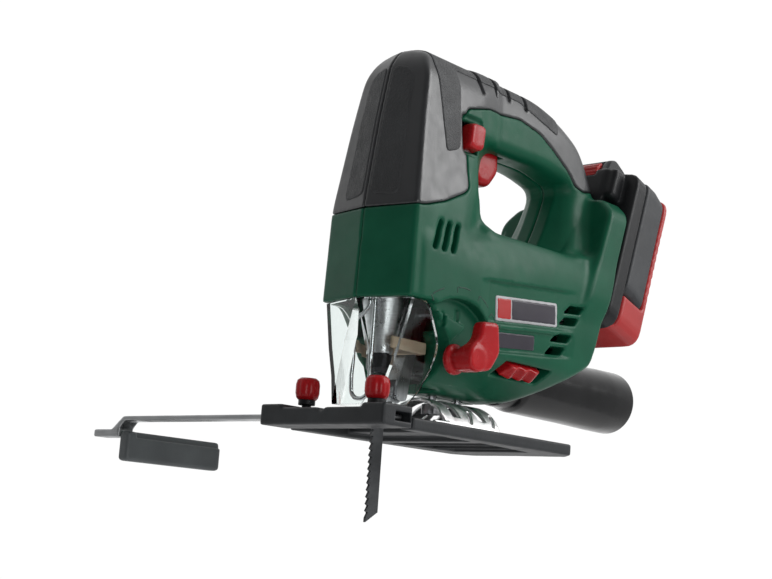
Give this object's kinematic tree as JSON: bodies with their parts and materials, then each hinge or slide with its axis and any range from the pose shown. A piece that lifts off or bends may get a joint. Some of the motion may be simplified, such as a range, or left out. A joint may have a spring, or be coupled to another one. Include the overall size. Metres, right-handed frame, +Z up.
{
  "type": "cordless jigsaw",
  "caption": "Cordless jigsaw with closed handle, tilting shoe, parallel fence, clear guard, orbital lever, dust port and slide-on battery pack.",
  "frame": {"origin": "on the sole's plane in the tool's middle, on the axis that the shoe tilts about", "axes": "+Z up from the sole, -Y the way the saw cuts, +X the tool's left side"},
  "size_m": [0.2219, 0.233, 0.231],
  "materials": {
    "housing_green": "moulded plastic with a fine satin spark texture",
    "soft_grip": "overmoulded soft grip, satin, grained where the hand holds it",
    "red_plastic": "moulded plastic, semi-gloss",
    "plate_grey": "printed plate, satin",
    "black_plastic": "moulded plastic, satin",
    "dark_grey_plastic": "moulded plastic, fine texture",
    "shoe_black": "cast base with black powder coat",
    "bright_steel": "bright plated steel",
    "steel": "turned or stamped steel",
    "sleeve_grey": "turned, satin silver",
    "cast_aluminium": "die cast",
    "bronze": "sintered bronze",
    "rotor_metal": "steel laminations with copper windings",
    "blade_steel": "dark tempered steel, bright ground teeth",
    "clamp_steel": "blackened steel",
    "clear_plastic": "clear moulded polycarbonate",
    "band_beige": "beige wiper strip",
    "board_green": "circuit board",
    "cell_blue": "cells in shrink sleeves"
  },
  "bodies": {
    "housing": {"housing_left": "housing_green", "housing_right": "housing_green", "handle_left": "housing_green", "handle_right": "housing_green", "soft_grip_left": "soft_grip", "soft_grip_right": "soft_grip", "housing_screw_1": "steel", "housing_screw_2": "steel", "housing_screw_3": "steel", "housing_screw_4": "steel", "name_plate_left": "red_plastic", "rating_plate": "plate_grey", "motor_can": "steel", "motor_bearing_front": "bright_steel", "motor_bearing_rear": "bright_steel", "gearbox_frame": "cast_aluminium", "plunger_bush_lower": "bronze", "plunger_bush_upper": "bronze", "clear_guard": "clear_plastic", "wire_guard": "bright_steel", "wiper_band": "band_beige", "fork_pivot_pin": "steel", "trigger_pin": "steel", "trigger_switch": "black_plastic", "circuit_board": "board_green", "dust_port": "black_plastic", "tool_contacts": "black_plastic", "bevel_screw_1": "steel", "bevel_screw_2": "steel"},
    "gear": {"drive_gear": "steel", "counterweight": "steel"},
    "rotor": {"armature": "rotor_metal", "cooling_fan": "black_plastic"},
    "plunger": {"plunger": "steel", "blade_clamp": "clamp_steel", "saw_blade": "blade_steel"},
    "sleeve": {"clamp_sleeve": "sleeve_grey"},
    "fork": {"roller_fork": "steel"},
    "roller": {"guide_roller": "steel"},
    "lever": {"orbital_lever": "red_plastic"},
    "slider": {"slide_switch": "red_plastic"},
    "trigger": {"trigger": "red_plastic"},
    "lock_off": {"lock_off_button": "red_plastic"},
    "shoe": {"shoe_plate": "shoe_black", "shoe_front_bar": "shoe_black", "bevel_saddle": "bright_steel"},
    "fence": {"fence_rod": "steel", "fence_plate": "dark_grey_plastic"},
    "thumb_left": {"thumb_screw_left": "red_plastic"},
    "thumb_right": {"thumb_screw_right": "red_plastic"},
    "battery": {"battery_case": "black_plastic", "battery_cover": "dark_grey_plastic", "battery_shell": "red_plastic", "battery_cell_1": "cell_blue", "battery_cell_2": "cell_blue", "battery_cell_3": "cell_blue", "battery_cell_4": "cell_blue", "battery_cell_5": "cell_blue", "battery_contacts": "black_plastic"},
    "latch": {"battery_latch": "red_plastic"}
  },
  "joints": [
    {"name": "shoe_tilt", "type": "hinge", "parent": "housing", "child": "shoe", "pos_m": [0, 0, 0], "axis": [0, 1, 0], "range_deg": [-45, 45]},
    {"name": "fence_slide", "type": "slide", "parent": "shoe", "child": "fence", "axis": [1, 0, 0], "range_m": [-0.04, 0.085]},
    {"name": "thumb_left_turn", "type": "hinge", "parent": "shoe", "child": "thumb_left", "pos_m": [0.022, -0.0636, 0.01], "axis": [0, 0, 1], "range_deg": [0, 360]},
    {"name": "thumb_right_turn", "type": "hinge", "parent": "shoe", "child": "thumb_right", "pos_m": [-0.022, -0.0636, 0.01], "axis": [0, 0, 1], "range_deg": [0, 360]},
    {"name": "rotor_spin", "type": "hinge", "parent": "housing", "child": "rotor", "pos_m": [0, 0.03, 0.083], "axis": [0, 1, 0], "continuous": true},
    {"name": "gear_spin", "type": "hinge", "parent": "housing", "child": "gear", "pos_m": [0, -0.014, 0.108], "axis": [0, 1, 0], "continuous": true},
    {"name": "plunger_slide", "type": "slide", "parent": "housing", "child": "plunger", "axis": [0, 0, 1], "range_m": [-0.01, 0.01]},
    {"name": "sleeve_turn", "type": "hinge", "parent": "plunger", "child": "sleeve", "pos_m": [0, -0.038, 0.05], "axis": [0, 0, 1], "range_deg": [0, 35], "stiffness_Nm_per_rad": 0.05},
    {"name": "fork_swing", "type": "hinge", "parent": "housing", "child": "fork", "pos_m": [0, -0.017, 0.06], "axis": [1, 0, 0], "range_deg": [0, 4], "stiffness_Nm_per_rad": 0.3},
    {"name": "roller_spin", "type": "hinge", "parent": "fork", "child": "roller", "pos_m": [0, -0.0292, 0.02], "axis": [1, 0, 0], "continuous": true},
    {"name": "orbital_lever_turn", "type": "hinge", "parent": "housing", "child": "lever", "pos_m": [0.04, -0.02, 0.037], "axis": [1, 0, 0], "range_deg": [0, 57]},
    {"name": "slide_switch_move", "type": "slide", "parent": "housing", "child": "slider", "axis": [0, 1, 0], "range_m": [0, 0.007]},
    {"name": "trigger_pull", "type": "hinge", "parent": "housing", "child": "trigger", "pos_m": [0, 0.016, 0.1535], "axis": [1, 0, 0], "range_deg": [0, 9], "stiffness_Nm_per_rad": 0.5},
    {"name": "lock_off_push", "type": "slide", "parent": "housing", "child": "lock_off", "axis": [1, 0, 0], "range_m": [-0.003, 0.003], "stiffness_N_per_m": 400},
    {"name": "battery_slide", "type": "slide", "parent": "housing", "child": "battery", "axis": [0, 0.299, 0.9542], "range_m": [0, 0.09]},
    {"name": "battery_latch_press", "type": "slide", "parent": "battery", "child": "latch", "axis": [0, 0.9542, -0.299], "range_m": [0, 0.003], "stiffness_N_per_m": 600}
  ],
  "couplings": [
    {"joint": "gear_spin", "follows": "rotor_spin", "ratio": -0.25}
  ]
}
